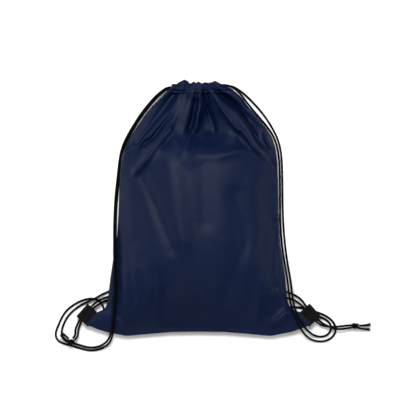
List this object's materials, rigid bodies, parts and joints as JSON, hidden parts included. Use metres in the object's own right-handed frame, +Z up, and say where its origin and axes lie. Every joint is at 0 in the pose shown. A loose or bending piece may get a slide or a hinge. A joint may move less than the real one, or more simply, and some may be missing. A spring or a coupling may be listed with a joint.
{
  "type": "drawstring backpack",
  "caption": "Light cloth backpack lying on its back, with a mouth gathered by doubled cords that run down both sides through webbing tabs at the bottom corners and end in knots.",
  "frame": {"origin": "On the surface that the bag lies on, at the middle of the bag's box without its free cords.", "axes": "+Z up, away from the surface and out of the front panel; +Y from the bottom seam to the gathered mouth; +X to the right of the mouth, seen from above."},
  "size_m": [0.4723, 0.4043, 0.06],
  "materials": {
    "bag_cloth": "plain woven, slight sheen",
    "cord": "round braid, satin",
    "webbing": "ribbed webbing, matt",
    "navy_thread": "twisted thread, satin",
    "black_thread": "twisted thread, satin"
  },
  "bodies": {
    "bag": {"back_panel": "bag_cloth", "back_hem": "bag_cloth", "back_hem_stitching": "navy_thread", "bottom_seam": "bag_cloth", "left_side_seam": "bag_cloth", "right_side_seam": "bag_cloth", "left_seam_bartack": "navy_thread", "right_seam_bartack": "navy_thread", "left_corner_tab": "webbing", "right_corner_tab": "webbing", "left_tab_stitching": "black_thread", "right_tab_stitching": "black_thread", "left_cord_front_strand": "cord", "left_cord_back_strand": "cord", "right_cord_front_strand": "cord", "right_cord_back_strand": "cord", "left_cord_in_back_hem": "cord", "right_cord_in_back_hem": "cord", "left_cord_turn": "cord", "right_cord_turn": "cord", "left_cord_tails": "cord", "right_cord_tails": "cord"},
    "mouth_front": {"front_panel": "bag_cloth", "front_hem": "bag_cloth", "front_hem_stitching": "navy_thread", "left_cord_in_front_hem": "cord", "right_cord_in_front_hem": "cord"},
    "left_knot_body": {"left_knot": "cord", "left_cord_ends": "cord"},
    "right_knot_body": {"right_knot": "cord", "right_cord_ends": "cord"}
  },
  "joints": [
    {"name": "mouth_open", "type": "hinge", "parent": "bag", "child": "mouth_front", "pos_m": [0, -0.19, 0.0099], "axis": [1, 0, 0], "range_deg": [0, 5], "deforming": ["left_cord_front_strand", "left_cord_back_strand", "right_cord_front_strand", "right_cord_back_strand", "left_cord_turn", "right_cord_turn"]},
    {"name": "left_knot_slide", "type": "slide", "parent": "bag", "child": "left_knot_body", "axis": [0.4838, 0.8752, 0], "range_m": [0, 0.018], "deforming": ["left_cord_tails"]},
    {"name": "right_knot_slide", "type": "slide", "parent": "bag", "child": "right_knot_body", "axis": [-0.989, 0.148, 0], "range_m": [0, 0.018], "deforming": ["right_cord_tails"]}
  ]
}
